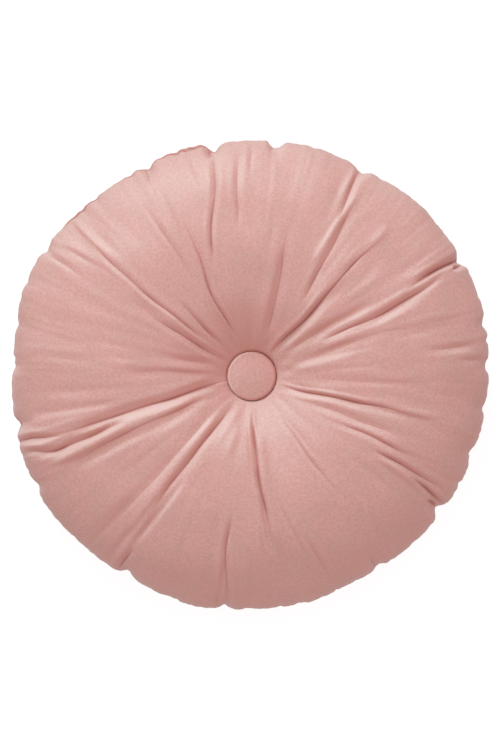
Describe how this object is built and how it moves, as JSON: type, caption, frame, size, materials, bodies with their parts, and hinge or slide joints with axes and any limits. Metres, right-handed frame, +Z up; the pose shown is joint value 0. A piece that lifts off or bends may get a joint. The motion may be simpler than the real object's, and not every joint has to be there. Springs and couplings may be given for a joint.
{
  "type": "round tufted cushion",
  "caption": "Round filled cushion in plain velvet: a covered button draws the middle of its face in, folds run out from it, and the sewn rim is gathered.",
  "frame": {"origin": "on the surface that the cushion lies on, under the middle of its outline", "axes": "+Z up, out of the front face with the button; +Y towards the edge that is at the top of the picture; +X to the right of the picture"},
  "size_m": [0.4008, 0.3934, 0.1213],
  "materials": {
    "velvet": "dusty pink cotton velvet, matt with a soft sheen",
    "button_velvet": "the same velvet, drawn tight over a button mould"
  },
  "bodies": {
    "root": {"cushion": "velvet", "button": "button_velvet"}
  },
  "joints": []
}
